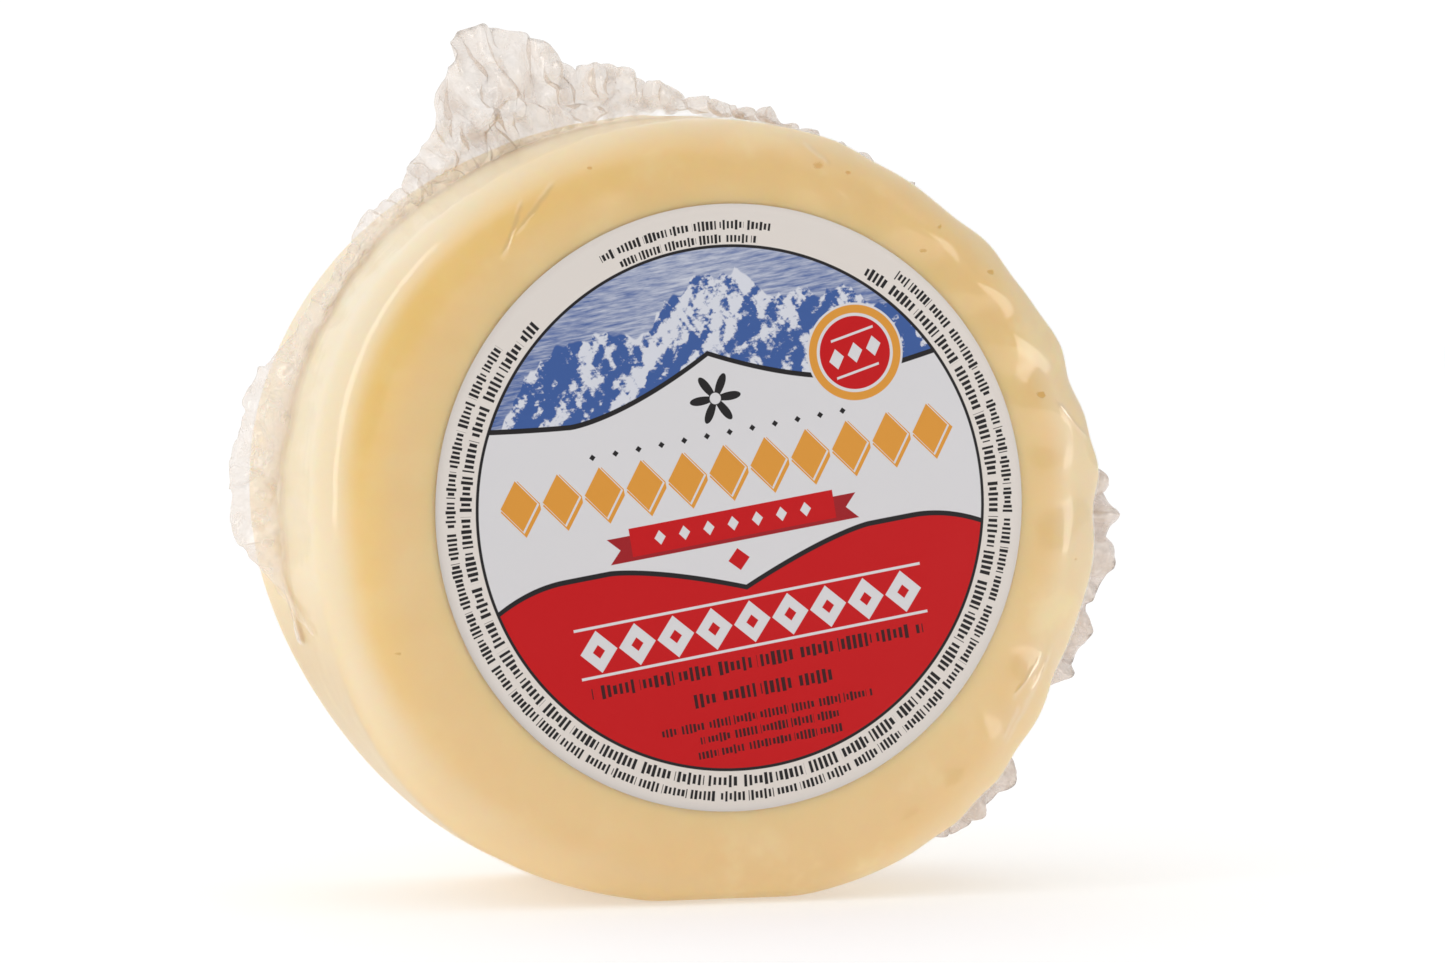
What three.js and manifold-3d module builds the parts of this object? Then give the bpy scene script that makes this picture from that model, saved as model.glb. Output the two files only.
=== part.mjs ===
// A small wheel of farmer cheese, sealed in clear film and standing on its rim, with a round label.
// Millimetres. X runs across the label, Y from the label into the wheel, Z up.
// The origin is the middle of the small flat that the wheel rests on.
import * as THREE from 'three';
import { mergeVertices } from 'three/addons/utils/BufferGeometryUtils.js';
import Module from 'manifold-3d';

// Driving dimensions

const WHEEL = {
  frontRadius: 76.2,        // a six inch wheel
  backRadius: 77,
  thickness: 62,
  edgeRounding: 9.5,
  centreHeight: 73,         // of the front face's middle over the floor
  backShift: { x: -2.4, z: 1.8 },  // of the back face's middle against the front's
};

// A soft wheel is never quite round. Each entry is a number of lobes round the rim,
// how far they stand out at the front and the back, and the angle of one of them.
const UNEVENNESS = [
  { lobes: 2, front: 1.2, frontAt: -11, back: 1.0, backAt: -11 },
  { lobes: 3, front: 0.2, frontAt: -16, back: 0.4, backAt: 35 },
  { lobes: 4, front: 0.7, frontAt: 41, back: 1.4, backAt: -14 },
  { lobes: 5, front: 0.8, frontAt: 11, back: 0.3, backAt: -20 },
];

// The crumpled seam of the film runs round the rim and lies flat under the wheel.
// Angles are degrees from +X, over the top of the wheel.
const SEAM = {
  depth: 35,                // of its root behind the front face
  from: -66,
  to: 236,
  fade: 12,                 // degrees over which each end dies down
  height: 4.4,
  rootDepth: 4,             // how far the solid reaches into the wheel
  rootWidth: 3.2,
  tipWidth: 1.5,
};

// Where the seam stands up or lies down: its angle, height over the rest, and half-width.
const EARS = [
  { at: 112.5, reach: 19.5, spread: 9.9 },
  { at: 96, reach: 4.5, spread: 5.4 },
  { at: 180.5, reach: 6.3, spread: 7.5 },
  { at: 166.5, reach: 2.9, spread: 6.6 },
  { at: 148, reach: -2.8, spread: 10.5 },
  { at: -4, reach: 10.5, spread: 9.5 },
  { at: -19.5, reach: 8.5, spread: 5.8 },
  { at: -42.5, reach: 8, spread: 9.5 },
  { at: 208, reach: -3.9, spread: 34 },
  { at: 66, reach: -2.6, spread: 23 },
];

// How round-topped an ear is: 2 is a bell curve, and more is blunter.
const EAR_BLUNTNESS = 2.5;

// The folds that throw the seam forward and back: folds round the whole rim, throw and phase.
const FOLDS = [
  { count: 11, throw: 2.0, phase: 0.6 },
  { count: 23, throw: 1.5, phase: 2.1 },
  { count: 41, throw: 1.3, phase: 4.0 },
];

// Small scallops along the seam's free edge.
const SCALLOPS = [
  { count: 29, rise: 0.5, phase: 1.0 },
  { count: 47, rise: 0.4, phase: 3.3 },
];

const LABEL = {
  radius: 57.15,            // a four and a half inch label
  thickness: 0.25,
  shift: { x: 2.1, z: 2.1 },  // of its middle against the front face's
};

const STEPS = {
  rim: 96,
  rounding: 5,
  wall: 4,
  seam: 202,
  seamHeight: 3,
  label: 96,
};

const COLOURS = {
  bag: 0xe8cf9c,
  label: 0xdcd6d4,
};

const FRONT = -WHEEL.thickness / 2;

// Shape of the wheel

const radians = THREE.MathUtils.degToRad;

// The outline's radius at an angle, where share is 0 at the front face and 1 at the back.
function rimRadius(angle, share) {
  const mix = THREE.MathUtils.lerp;
  return UNEVENNESS.reduce((radius, { lobes, front, frontAt, back, backAt }) => {
    const atFront = front * Math.cos(lobes * (angle - radians(frontAt)));
    const atBack = back * Math.cos(lobes * (angle - radians(backAt)));
    return radius + mix(atFront, atBack, share);
  }, mix(WHEEL.frontRadius, WHEEL.backRadius, share));
}

// A point at an angle round the wheel, lift outside its outline and depth behind the front face.
function wheelPoint(angle, depth, lift) {
  const share = depth / WHEEL.thickness;
  const radius = rimRadius(angle, share) + lift;
  return new THREE.Vector3(
    WHEEL.backShift.x * share + radius * Math.cos(angle),
    FRONT + depth,
    WHEEL.centreHeight + WHEEL.backShift.z * share + radius * Math.sin(angle),
  );
}

// The wheel's section from the front face to the back face, as depths and lifts.
function wheelSection() {
  const { thickness, edgeRounding } = WHEEL;
  const section = [];
  for (let i = 0; i <= STEPS.rounding; i += 1) {
    const turn = (i / STEPS.rounding) * (Math.PI / 2);
    section.push([edgeRounding * (1 - Math.cos(turn)), edgeRounding * (Math.sin(turn) - 1)]);
  }
  for (let i = 1; i < STEPS.wall; i += 1) {
    section.push([edgeRounding + (i / STEPS.wall) * (thickness - 2 * edgeRounding), 0]);
  }
  for (let i = STEPS.rounding; i >= 0; i -= 1) {
    const [depth, lift] = section[i];
    section.push([thickness - depth, lift]);
  }
  return section;
}

// Closed surface through rings of equally many points, with a fan over each end.
function loft(rings, firstPole, lastPole) {
  const count = rings[0].length;
  const points = [...rings.flat(), firstPole, lastPole];
  const first = points.length - 2;
  const last = points.length - 1;
  const faces = [];
  for (let r = 0; r + 1 < rings.length; r += 1) {
    for (let i = 0; i < count; i += 1) {
      const a = r * count + i;
      const b = r * count + ((i + 1) % count);
      faces.push(a, b, b + count, a, b + count, a + count);
    }
  }
  for (let i = 0; i < count; i += 1) {
    const next = (i + 1) % count;
    const end = (rings.length - 1) * count;
    faces.push(first, next, i, last, end + i, end + next);
  }
  const geometry = new THREE.BufferGeometry().setFromPoints(points);
  geometry.setIndex(faces);
  return geometry;
}

function wheelGeometry() {
  const rings = wheelSection().map(([depth, lift]) => Array.from(
    { length: STEPS.rim },
    (_, i) => wheelPoint(-(2 * Math.PI * i) / STEPS.rim, depth, lift),
  ));
  const { centreHeight, backShift } = WHEEL;
  return loft(
    rings,
    new THREE.Vector3(0, FRONT, centreHeight),
    new THREE.Vector3(backShift.x, -FRONT, centreHeight + backShift.z),
  );
}

// Shape of the film's seam

// How much of the seam's height is left near its ends, from 0 to 1.
function seamShare(degrees) {
  const fromEnd = Math.min(degrees - SEAM.from, SEAM.to - degrees);
  return THREE.MathUtils.smoothstep(fromEnd, 0, SEAM.fade);
}

function seamHeight(degrees) {
  const angle = radians(degrees);
  const stand = EARS.reduce((height, { at, reach, spread }) => (
    height + reach * Math.exp(-(Math.abs((degrees - at) / spread) ** EAR_BLUNTNESS))
  ), SEAM.height);
  const scallop = SCALLOPS.reduce((rise, wave) => (
    rise + wave.rise * Math.sin(wave.count * angle + wave.phase)
  ), 0);
  return (stand + scallop) * seamShare(degrees);
}

function seamThrow(degrees) {
  const angle = radians(degrees);
  return FOLDS.reduce((sum, fold) => (
    sum + fold.throw * Math.sin(fold.count * angle + fold.phase)
  ), 0);
}

// One section of the seam: up its front side from the root and down its back side.
function seamRing(degrees) {
  const angle = radians(degrees);
  const top = seamHeight(degrees);
  const throwAtTip = seamThrow(degrees) * seamShare(degrees);
  const side = (sign) => Array.from({ length: STEPS.seamHeight + 1 }, (_, i) => {
    const share = i / STEPS.seamHeight;
    const lift = THREE.MathUtils.lerp(-SEAM.rootDepth, top, share);
    const width = THREE.MathUtils.lerp(SEAM.rootWidth, SEAM.tipWidth, share);
    return wheelPoint(angle, SEAM.depth + throwAtTip * share + (sign * width) / 2, lift);
  });
  return [...side(-1), ...side(1).reverse()];
}

function seamGeometry() {
  const rings = Array.from({ length: STEPS.seam + 1 }, (_, i) => (
    seamRing(THREE.MathUtils.lerp(SEAM.from, SEAM.to, i / STEPS.seam))
  ));
  const middle = (ring) => ring.reduce((sum, p) => sum.add(p), new THREE.Vector3())
    .divideScalar(ring.length);
  return loft(rings, middle(rings[0]), middle(rings[STEPS.seam]));
}

// Solid joining and cutting

const wasm = await Module();
wasm.setup();

function solid(geometry) {
  const bare = geometry.clone();
  bare.deleteAttribute('normal');
  bare.deleteAttribute('uv');
  const merged = mergeVertices(bare);
  return new wasm.Manifold(new wasm.Mesh({
    numProp: 3,
    vertProperties: new Float32Array(merged.attributes.position.array),
    triVerts: new Uint32Array(merged.index.array),
  }));
}

function geometryOf(manifold) {
  const mesh = manifold.getMesh();
  const geometry = new THREE.BufferGeometry();
  geometry.setAttribute('position', new THREE.BufferAttribute(mesh.vertProperties, 3));
  geometry.setIndex(new THREE.BufferAttribute(mesh.triVerts, 1));
  geometry.computeVertexNormals();
  return geometry;
}

// The floor as a block, to cut the resting flat.
function floorGeometry() {
  const side = 4 * WHEEL.backRadius;
  return new THREE.BoxGeometry(side, side, side).translate(0, 0, -side / 2);
}

// Parts

function material(color, roughness) {
  return new THREE.MeshStandardMaterial({ color, roughness, metalness: 0 });
}

function part(name, geometry, finish) {
  const mesh = new THREE.Mesh(geometry, finish);
  mesh.name = name;
  return mesh;
}

function sealedBag() {
  const wrapped = solid(wheelGeometry()).add(solid(seamGeometry()));
  const standing = wrapped.subtract(solid(floorGeometry()));
  return part('sealed_bag', geometryOf(standing), material(COLOURS.bag, 0.3));
}

function label() {
  const { radius, thickness, shift } = LABEL;
  const disc = new THREE.CylinderGeometry(radius, radius, thickness, STEPS.label);
  const mesh = part('label', disc, material(COLOURS.label, 0.45));
  mesh.position.set(shift.x, FRONT - thickness / 2, WHEEL.centreHeight + shift.z);
  return mesh;
}

const cheese = new THREE.Group();
cheese.add(sealedBag(), label());

export default cheese;
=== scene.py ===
"""A small wheel of farmer cheese, sealed in clear film and standing on its rim, with a round label.

Everything is in metres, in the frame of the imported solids: X across the label, Y into the wheel, Z up.
"""

import math
from functools import reduce

import bpy
import numpy as np
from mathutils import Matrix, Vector
from mathutils.bvhtree import BVHTree


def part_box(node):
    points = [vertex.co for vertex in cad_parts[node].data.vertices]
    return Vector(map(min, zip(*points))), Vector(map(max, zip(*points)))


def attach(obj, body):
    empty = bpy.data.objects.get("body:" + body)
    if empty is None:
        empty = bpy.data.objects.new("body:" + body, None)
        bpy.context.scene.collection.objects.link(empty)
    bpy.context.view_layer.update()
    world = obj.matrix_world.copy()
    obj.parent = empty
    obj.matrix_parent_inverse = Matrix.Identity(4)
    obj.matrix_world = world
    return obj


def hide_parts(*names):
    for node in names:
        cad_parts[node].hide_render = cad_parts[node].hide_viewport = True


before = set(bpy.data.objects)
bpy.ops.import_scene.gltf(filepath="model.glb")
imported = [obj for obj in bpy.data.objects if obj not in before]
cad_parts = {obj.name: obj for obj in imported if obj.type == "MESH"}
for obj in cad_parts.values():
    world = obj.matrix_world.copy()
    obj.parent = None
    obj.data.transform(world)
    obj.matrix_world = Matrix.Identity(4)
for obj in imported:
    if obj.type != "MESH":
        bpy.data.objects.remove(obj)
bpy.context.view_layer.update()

MM = 0.001
TURN = 2 * math.pi

# Sizes that the solids don't give by themselves

EDGE_ROUNDING = 9.5 * MM
FILM_GAP = 0.25 * MM  # between the cheese and the outside of its film
SEAM_DEPTH = 35 * MM  # of the seam's root behind the front face

# Steps of the meshes

RIM_STEPS = 540
FACE_ROWS = 26
ROUNDING_ROWS = 14
WALL_ROWS = 34
OUTLINE_BLUR = 1.5 / 360 * RIM_STEPS  # over 1.5 degrees, to hide the solid's facets


# Shape of the wheel, measured on its solid


def solid_of(node):
    """The node's points, and its surface for casting rays."""
    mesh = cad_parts[node].data
    points = np.empty(3 * len(mesh.vertices))
    mesh.vertices.foreach_get("co", points)
    points = points.reshape(-1, 3)
    faces = [tuple(face.vertices) for face in mesh.polygons]
    return points, BVHTree.FromPolygons(points.tolist(), faces)


def face_centre(points, y):
    """The middle of the wheel's flat face at y."""
    on_face = points[np.abs(points[:, 1] - y) < 0.001 * MM]
    return np.unique(on_face.round(6), axis=0).mean(0)


bag_low, bag_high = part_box("sealed_bag")
bag_points, bag_surface = solid_of("sealed_bag")
FRONT, BACK = bag_low.y, bag_high.y
THICKNESS = BACK - FRONT
front_hub = face_centre(bag_points, FRONT)
back_hub = face_centre(bag_points, BACK)
ANGLES = np.arange(RIM_STEPS) * TURN / RIM_STEPS


def hub_at(share):
    """The wheel's axis at a share of its thickness, from 0 at the front to 1 at the back."""
    share = np.asarray(share)[..., None]
    return front_hub * (1 - share) + back_hub * share


def smoothed(values, steps):
    """values round a closed ring, blurred over so many steps."""
    reach = int(4 * steps)
    weights = np.exp(-0.5 * (np.arange(-reach, reach + 1) / steps) ** 2)
    around = np.concatenate([values[-reach:], values, values[:reach]])
    return np.convolve(around, weights / weights.sum(), "valid")


def outline(depth):
    """The solid's radius at every angle, at a depth behind its front face."""
    start = Vector(hub_at(depth / THICKNESS))
    radii = [bag_surface.ray_cast(start, Vector((math.cos(a), 0, math.sin(a))))[3] for a in ANGLES]
    return smoothed(np.array(radii), OUTLINE_BLUR)


near_front = outline(EDGE_ROUNDING)
near_back = outline(THICKNESS - EDGE_ROUNDING)


def radius_at(angle, share):
    """The wheel's outer radius at angles and shares of its thickness."""
    low = EDGE_ROUNDING / THICKNESS
    along = (share - low) / (1 - 2 * low)
    front = np.interp(angle % TURN, ANGLES, near_front, period=TURN)
    back = np.interp(angle % TURN, ANGLES, near_back, period=TURN)
    return front * (1 - along) + back * along


def around_axis(points):
    """The points' shares of the thickness, and their angles and distances from the wheel's axis."""
    share = (points[..., 1] - FRONT) / THICKNESS
    arm = points - hub_at(share)
    return share, np.arctan2(arm[..., 2], arm[..., 0]), np.hypot(arm[..., 0], arm[..., 2])


def wheel_point(angle, depth, lift):
    """Points round the wheel, lift outside its outline and depth behind its front face."""
    share = depth / THICKNESS
    radius = radius_at(angle, share) + lift
    hub = hub_at(share)
    x = hub[..., 0] + radius * np.cos(angle)
    z = hub[..., 2] + radius * np.sin(angle)
    return np.stack([x, FRONT + depth + 0 * radius, z], -1)


def wheel_section():
    """Depth and lift of each row of the wheel's surface, from its front face to its back face."""
    turn = np.linspace(0, math.pi / 2, ROUNDING_ROWS)
    depth = EDGE_ROUNDING * (1 - np.cos(turn))
    lift = EDGE_ROUNDING * (np.sin(turn) - 1)
    wall = np.linspace(EDGE_ROUNDING, THICKNESS - EDGE_ROUNDING, WALL_ROWS)[1:-1]
    depths = np.concatenate([depth, wall, THICKNESS - depth[::-1]])
    lifts = np.concatenate([lift, 0 * wall, lift[::-1]])
    return depths, lifts


# The label

label_low, label_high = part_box("label")
LABEL_RADIUS = (label_high.x - label_low.x) / 2
LABEL_MIDDLE = (label_low + label_high) / 2


# Uneven surfaces


def ripple(points, size, seed):
    """Smooth noise from about -1 to 1 at points, with bumps about size across."""
    waves = 28
    random = np.random.default_rng(seed)
    direction = random.normal(size=(3, waves))
    direction /= np.linalg.norm(direction, axis=0)
    pitch = TURN / (2 * size) * random.uniform(0.5, 1.5, waves)
    phase = random.uniform(0, TURN, waves)
    return np.cos(points @ (direction * pitch) + phase).sum(-1) / math.sqrt(waves)


def smooth_step(values, low, high):
    """0 below low and 1 above high, smooth between them."""
    share = np.clip((values - low) / (high - low), 0, 1)
    return share * share * (3 - 2 * share)


# Meshes


def ring_faces(rows, steps):
    """Quads between rows of steps points each, closed round the ring."""
    row, step = np.meshgrid(np.arange(rows - 1), np.arange(steps), indexing="ij")
    corner = row * steps + step
    after = row * steps + (step + 1) % steps
    return np.stack([corner, after, after + steps, corner + steps], -1).reshape(-1, 4)


def open_grid(points):
    """Quads over a grid of points."""
    columns, rows = points.shape[:2]
    column, row = np.meshgrid(np.arange(columns - 1), np.arange(rows - 1), indexing="ij")
    corner = column * rows + row
    return np.stack([corner, corner + 1, corner + rows + 1, corner + rows], -1).reshape(-1, 4)


def add_object(name, data):
    thing = bpy.data.objects.new(name, data)
    bpy.context.scene.collection.objects.link(thing)
    return thing


def make_piece(name, points, faces, material):
    """A smooth-shaded piece of the object, in the frame's place."""
    mesh = bpy.data.meshes.new(name)
    mesh.from_pydata(np.asarray(points).tolist(), [], [list(face) for face in faces])
    mesh.shade_smooth()
    mesh.update()
    mesh.materials.append(material)
    piece = add_object(name, mesh)
    return piece


def set_share(piece, name, values):
    """Keeps a number for each point, for the material to read."""
    attribute = piece.data.attributes.new(name, "FLOAT", "POINT")
    attribute.data.foreach_set("value", np.asarray(values, dtype=np.float32))


# Materials


class Value:
    """A number in a material's nodes, worked with like a number in Python."""

    def __init__(self, material, socket):
        self.material = material
        self.socket = socket

    def math(self, operation, *others):
        node = add_node(self.material, "Math")
        node.operation = operation
        for socket, value in zip(node.inputs, (self, *others)):
            connect(value, socket)
        return Value(self.material, node.outputs[0])

    def __add__(self, other):
        return self.math("ADD", other)

    def __sub__(self, other):
        return self.math("SUBTRACT", other)

    def __mul__(self, other):
        return self.math("MULTIPLY", other)

    def __truediv__(self, other):
        return self.math("DIVIDE", other)

    def __rsub__(self, other):
        return self.math("MULTIPLY_ADD", -1, other)

    def __neg__(self):
        return self.math("MULTIPLY", -1)

    def __abs__(self):
        return self.math("ABSOLUTE")

    def __pow__(self, other):
        return self.math("POWER", other)

    def least(self, other):
        return self.math("MINIMUM", other)

    def most(self, other):
        return self.math("MAXIMUM", other)

    def ramp(self, low, high):
        """0 below low and 1 above high, smooth between them. high may be the lower one."""
        falls = low > high
        node = add_node(
            self.material,
            "MapRange",
            Value=self,
            From_Min=min(low, high),
            From_Max=max(low, high),
            To_Min=float(falls),
            To_Max=float(not falls),
        )
        node.interpolation_type = "SMOOTHSTEP"
        return Value(self.material, node.outputs["Result"])


def distance(x, y):
    """How far x and y are from their middle."""
    return (x * x + y * y).math("SQRT")


def connect(value, socket):
    """Sets a socket to a number, a colour or what a node gives."""
    if isinstance(value, Value):
        socket.id_data.links.new(value.socket, socket)
    else:
        socket.default_value = value


def add_node(material, kind, **inputs):
    """A new node with some of its inputs set. An underscore stands for a space in their names."""
    node = material.node_tree.nodes.new("ShaderNode" + kind)
    for name, value in inputs.items():
        connect(value, node.inputs[name.replace("_", " ")])
    return node


def node_value(material, kind, output=0, **inputs):
    """What a new node gives."""
    return Value(material, add_node(material, kind, **inputs).outputs[output])


def linear(red, green, blue):
    """A display colour from 0 to 255 as the shader's linear colour."""
    share = np.array([red, green, blue]) / 255
    low = share / 12.92
    high = ((share + 0.055) / 1.055) ** 2.4
    return (*np.where(share < 0.04045, low, high).tolist(), 1.0)


def new_material(name):
    material = bpy.data.materials.new(name)
    material.use_nodes = True
    material.node_tree.nodes.clear()
    return material


def place(material):
    """Where the surface is, in its object's own metres."""
    return node_value(material, "TexCoord", "Object")


def noise(where, size, detail=2.0, roughness=0.5):
    """Noise from 0 to 1 with bumps about size metres across."""
    inputs = {"Vector": where, "Scale": 1 / size, "Detail": detail, "Roughness": roughness}
    return node_value(where.material, "TexNoise", **inputs)


def mapped(where, kind="POINT", **inputs):
    """where, moved, turned or stretched."""
    node = add_node(where.material, "Mapping", Vector=where, **inputs)
    node.vector_type = kind
    return Value(where.material, node.outputs[0])


def split(where):
    """X, Y and Z of a place or a direction."""
    node = add_node(where.material, "SeparateXYZ", Vector=where)
    return [Value(where.material, node.outputs[axis]) for axis in "XYZ"]


def mixed(share, first, second):
    """Goes from the first colour to the second as share goes from 0 to 1."""
    node = add_node(share.material, "Mix")
    node.data_type = "RGBA"
    # the sockets for colours share their names with others
    connect(share, node.inputs[0])
    connect(first, node.inputs[6])
    connect(second, node.inputs[7])
    return Value(share.material, node.outputs[2])


def bumped(height, depth, strength):
    """A normal for a height from 0 to 1 that is depth metres deep."""
    return node_value(height.material, "Bump", Height=height, Distance=depth, Strength=strength)


def attribute(material, name):
    """A number that set_share keeps for each point of the mesh."""
    node = add_node(material, "Attribute")
    node.attribute_name = name
    return Value(material, node.outputs["Fac"])


def shine(material, straight_on, most):
    """The share of light that clear film mirrors, from straight_on seen face on to most at a slant."""
    slant = node_value(material, "LayerWeight", "Facing", Blend=0.5)
    return slant ** 5 * (most - straight_on) + straight_on


def finish_material(material, shader):
    """The material with shader on its surface."""
    output = add_node(material, "OutputMaterial")
    material.node_tree.links.new(shader.outputs[0], output.inputs["Surface"])
    return material


# Colours of the cheese. Where there are two, they lie side by side in soft clouds.
FACE = linear(240, 205, 141), linear(241, 207, 145)
# painted light: a warm, saturated yellow painted as the glow of light through the cheese inside its lit
# left edge, and as warm shade along its foot
PAINTED_GLOW_AND_SHADE = linear(246, 209, 127), linear(246, 210, 132)
# the rim's paler cream: partly its own tone and partly painted light
PALE_LIT_RIM = linear(242, 226, 195), linear(243, 228, 201)
# painted shade, for the wall low at the left and along the foot
PAINTED_SHADE_TONE = linear(221, 190, 136)
CURD = linear(250, 224, 164)
MARBLE = linear(250, 230, 180)
PIT = linear(222, 176, 88)

# Pits and creases fade in between these places along Y, and none lie behind
FRONT_FROM, FRONT_FULL = -12 * MM, -18 * MM

# Small pits in the front face: degree, and in mm the distance from its middle and the size
PITS = [
    (74, 69.1, 1.9),
    (69, 69.9, 1.1),
    (52, 69.9, 0.9),
    (41, 70.7, 1.5),
    (20, 67.3, 1.6),
    (-7, 71.1, 1.0),
    (52, 64.1, 1.1),
    (111, 70.4, 1.0),
    (201, 66.5, 0.9),
]
PIT_FLATNESS = math.sqrt(2.2)  # how much wider than high they are

# Creases in the film over the front face: of each end the degree, and its mm from the middle
CREASES = [
    ((-20, 71.2), (-39, 71.9)),
    ((-22, 69.2), (-32, 67.9)),
    ((-31, 69.6), (-38, 70.8)),
    ((116, 71.5), (127, 66.4)),
    ((122, 71.6), (131, 64.3)),
    ((19, 69.0), (11, 74.8)),
    ((77, 73.1), (72, 69.9)),
]
CREASE_WIDTH = 0.9 * MM


def on_front(degrees, mm):
    """X and Z of a place on the front face."""
    angle = math.radians(degrees)
    return front_hub[0] + mm * MM * math.cos(angle), front_hub[2] + mm * MM * math.sin(angle)


def front_place(where):
    """X and Z of the surface, and 1 on the front half of the wheel."""
    x, y, z = split(where)
    return x, z, y.ramp(FRONT_FROM, FRONT_FULL)


def pit_share(where):
    """1 inside the pits, which have ragged edges."""
    x, z, front = front_place(where)
    ragged = (noise(where, 1.1 * MM, detail=2) - 0.5) * (1.6 * MM)
    pits = []
    for degrees, reach, size in PITS:
        pit_x, pit_z = on_front(degrees, reach)
        away = distance(x - pit_x, (z - pit_z) * PIT_FLATNESS) + ragged
        pits.append(away.ramp(0.62 * size * MM, 0.30 * size * MM))
    return reduce(Value.most, pits) * front


def crease_share(where):
    """1 along the middle of the creases."""
    x, z, front = front_place(where)
    x = x + (noise(where, 6 * MM) - 0.5) * (2 * MM)
    creases = []
    for start, end in CREASES:
        (start_x, start_z), (end_x, end_z) = on_front(*start), on_front(*end)
        length = math.hypot(end_x - start_x, end_z - start_z)
        step_x, step_z = (end_x - start_x) / length, (end_z - start_z) / length
        off_x, off_z = x - start_x, z - start_z
        along = (off_x * step_x + off_z * step_z).most(0).least(length)
        away = distance(off_x - along * step_x, off_z - along * step_z)
        fade = abs(along * (2 / length) - 1).ramp(1.0, 0.6)
        creases.append(away.ramp(CREASE_WIDTH, 0.0) * fade)
    return reduce(Value.most, creases) * front


def cheese_material():
    """Smooth, slightly translucent cheese: yellow faces with a painted warm glow inside the lit left edge
    and painted warm shade along the foot, a rim that is paler partly in its own tone and partly as painted
    light, and painted shade low on the left wall.
    """
    material = new_material("cheese")
    where = place(material)
    pit = pit_share(where)
    clouds = noise(where, 30 * MM, detail=3).ramp(0.35, 0.68)
    curd = noise(where, 6 * MM, detail=4, roughness=0.6).ramp(0.3, 0.75)
    marble = noise(where, 13 * MM, detail=4, roughness=0.55).ramp(0.52, 0.70)
    grain = noise(where, 1.6 * MM, detail=3)
    face, deep, rim = (mixed(clouds, *colours) for colours in (FACE, PAINTED_GLOW_AND_SHADE, PALE_LIT_RIM))
    # deep: painted warm glow inside the lit left edge, and painted warm shade along the foot
    colour = mixed(attribute(material, "deep"), face, deep)
    # pale: the rim's paler tone, partly its own and partly painted light
    colour = mixed(attribute(material, "pale"), colour, rim)
    # painted shade low on the left wall and along the foot
    colour = mixed(attribute(material, "painted_shade"), colour, PAINTED_SHADE_TONE)
    colour = mixed(curd * 0.16, colour, CURD)
    colour = mixed(marble * attribute(material, "marble"), colour, MARBLE)
    colour = mixed(pit * 0.8, colour, PIT)
    shader = add_node(
        material,
        "BsdfPrincipled",
        Base_Color=colour,
        Roughness=0.46,
        IOR=1.4,
        Normal=bumped(grain * 0.15 - pit, 0.4 * MM, 0.5),
        Subsurface_Weight=0.75,
        Subsurface_Radius=(0.8, 0.5, 0.25),
        Subsurface_Scale=8 * MM,
    )
    shader.subsurface_method = "RANDOM_WALK"
    return finish_material(material, shader)


def see_through(share, clear, body):
    """The material with share of its surface taken up by body and the rest clear."""
    material = share.material
    mix = add_node(material, "MixShader", Fac=share)
    material.node_tree.links.new(clear.outputs[0], mix.inputs[1])
    material.node_tree.links.new(body.outputs[0], mix.inputs[2])
    return finish_material(material, mix)


CLEAR = (0.995, 0.995, 0.995, 1)
TIGHT_FILM = linear(250, 247, 243)
# the hazy film's body and tint are darker: denser film, and painted shade round the right side
LOOSE_FILM, HAZY_SHADED_FILM = linear(248, 236, 224), linear(235, 222, 211)
LOOSE_CLEAR, HAZY_SHADED_CLEAR = (0.995, 0.991, 0.986, 1), (0.935, 0.91, 0.895, 1)


def film_material():
    """Clear tight film: nothing but its shine, which grows as it slants away."""
    material = new_material("film")
    where = place(material)
    smear = noise(where, 20 * MM, detail=3)
    wrinkles = noise(mapped(where, Scale=(0.12, 1, 0.12)), 2.2 * MM, detail=3)
    crease = crease_share(where)
    gloss = add_node(
        material,
        "BsdfPrincipled",
        Base_Color=TIGHT_FILM,
        Roughness=smear.ramp(0.2, 0.8) * 0.08 + 0.09,
        Metallic=1.0,
        Normal=bumped(wrinkles * 0.3 + crease * 0.45, 0.5 * MM, 0.5),
    )
    clear = add_node(material, "BsdfTransparent", Color=CLEAR)
    return see_through(shine(material, 0.07, 0.28) + crease * 0.16, clear, gloss)


def small_folds(where):
    """1 along thin winding lines, where bent noise is at its middle level."""
    bent = noise(where, 8 * MM, detail=1)
    shifted = add_node(where.material, "VectorMath")
    shifted.operation = "ADD"
    connect(where, shifted.inputs[0])
    connect((bent - 0.5) * (12 * MM), shifted.inputs[1])
    level = noise(Value(where.material, shifted.outputs[0]), 7.5 * MM, detail=1)
    return (1 - abs(level - 0.5) * 26).most(0)


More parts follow.
